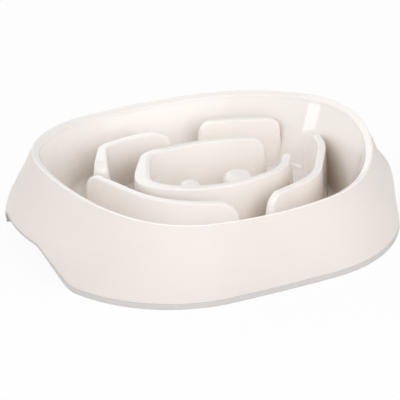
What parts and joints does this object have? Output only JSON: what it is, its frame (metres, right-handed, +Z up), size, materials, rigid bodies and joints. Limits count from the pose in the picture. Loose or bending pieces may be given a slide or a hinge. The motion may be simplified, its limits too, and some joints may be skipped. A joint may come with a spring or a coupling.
{
  "type": "slow feeder bowl",
  "caption": "Wide pet bowl with a flared skirt, a saddle-shaped rim, a maze of tall ridges in the well that slows eating, finger arches at the ends and a soft grip band.",
  "frame": {"origin": "centre of the resting face, on the surface the bowl stands on", "axes": "+X along the bowl's longer side, towards one finger arch; +Y across it; +Z up"},
  "size_m": [0.3522, 0.301, 0.0782],
  "materials": {
    "bowl_gloss": "glossy polypropylene, smooth well and maze",
    "bowl_matte": "matte polypropylene, fine texture on the outer skirt",
    "soft_grip": "matte soft grip band (TPE)"
  },
  "bodies": {
    "root": {"outer_skirt": "bowl_matte", "rim_band": "bowl_gloss", "well_wall": "bowl_gloss", "well_floor": "bowl_gloss", "back_ridge": "bowl_gloss", "left_ridge": "bowl_gloss", "front_ridge": "bowl_gloss", "centre_ridge": "bowl_gloss", "right_ridge": "bowl_gloss", "small_post": "bowl_gloss", "large_post": "bowl_gloss", "grip_band": "soft_grip"}
  },
  "joints": []
}
